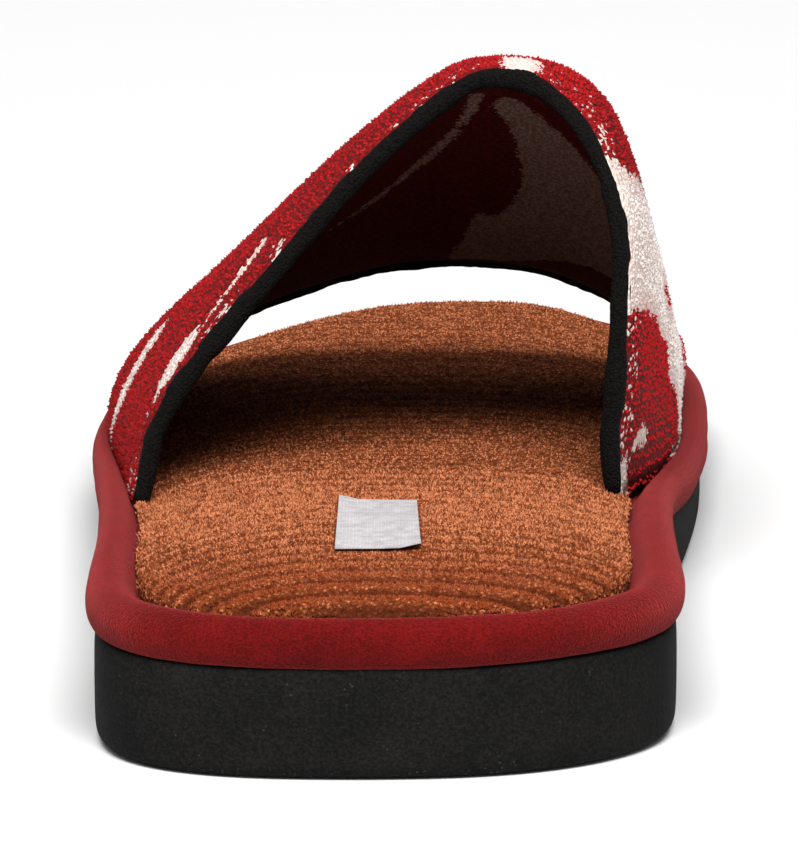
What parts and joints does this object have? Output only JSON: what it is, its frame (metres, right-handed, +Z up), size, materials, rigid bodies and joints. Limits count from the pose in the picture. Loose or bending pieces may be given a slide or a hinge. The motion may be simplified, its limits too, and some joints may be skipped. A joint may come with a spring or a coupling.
{
  "type": "open-toe slipper",
  "caption": "Left open-toe house slipper: foam wedge sole, cloth-wrapped platform with rolled edge, padded insole and a hollow padded vamp open at collar and toe.",
  "frame": {"origin": "on the floor under the middle of the slipper's bounding box", "axes": "+Y from the heel to the toe, +X towards the medial side of the left foot, +Z up"},
  "size_m": [0.1016, 0.262, 0.0833],
  "materials": {
    "black_foam": "matt closed-cell foam",
    "burgundy_cloth": "short velvet nap",
    "tan_terry": "ribbed terry nap",
    "floral_jacquard": "chenille jacquard, red and cream floral",
    "black_knit": "knit edge tape",
    "white_woven": "woven tag, bare"
  },
  "bodies": {
    "root": {"outsole": "black_foam", "midsole": "burgundy_cloth", "insole": "tan_terry", "upper": "floral_jacquard", "collar_binding": "black_knit", "toe_binding": "black_knit", "label": "white_woven"}
  },
  "joints": []
}
